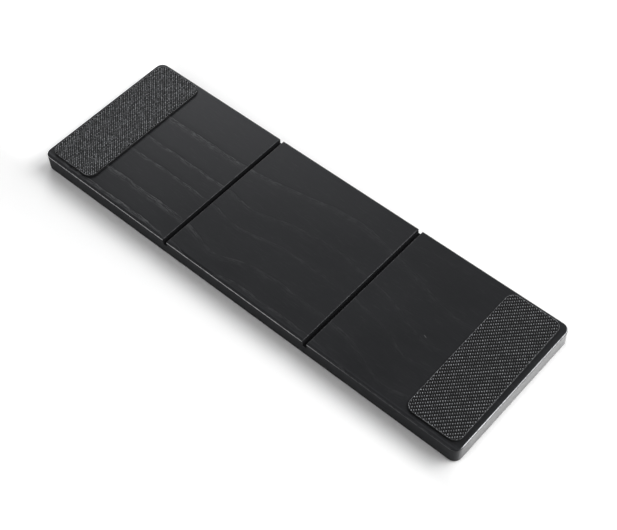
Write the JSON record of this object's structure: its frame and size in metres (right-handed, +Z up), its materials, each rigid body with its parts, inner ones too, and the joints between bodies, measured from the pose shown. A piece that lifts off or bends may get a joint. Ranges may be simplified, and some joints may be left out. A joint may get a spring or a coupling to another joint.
{
  "type": "slant board",
  "caption": "Low rigid black wooden plank with cross grooves in its deck and a woven grip pad near each end, on low rubber feet; it is propped at a slope for calf and ankle stretches.",
  "frame": {"origin": "under the middle of the board, on the surface that its feet stand on", "axes": "+X along the board's length, +Y across it to the back, +Z up"},
  "size_m": [0.5, 0.16, 0.021],
  "materials": {
    "stained_wood": "black stain on open-pore wood, thin satin lacquer",
    "grip_fabric": "coarse dark grey twill with raised pale stitches",
    "pad_rubber": "matt black foam rubber",
    "adhesive_film": "thin double-sided film",
    "foot_rubber": "matt moulded rubber",
    "zinc_steel": "bright zinc plate"
  },
  "bodies": {
    "root": {"base_board": "stained_wood", "deck_panel_left": "stained_wood", "deck_panel_middle": "stained_wood", "deck_panel_right": "stained_wood", "deck_screws_left": "zinc_steel", "deck_screws_middle": "zinc_steel", "deck_screws_right": "zinc_steel", "left_pad_adhesive": "adhesive_film", "left_pad_backing": "pad_rubber", "left_pad_grip_face": "grip_fabric", "right_pad_adhesive": "adhesive_film", "right_pad_backing": "pad_rubber", "right_pad_grip_face": "grip_fabric", "foot_front_left": "foot_rubber", "foot_front_right": "foot_rubber", "foot_back_left": "foot_rubber", "foot_back_right": "foot_rubber", "foot_washers": "zinc_steel", "foot_screws": "zinc_steel"}
  },
  "joints": []
}
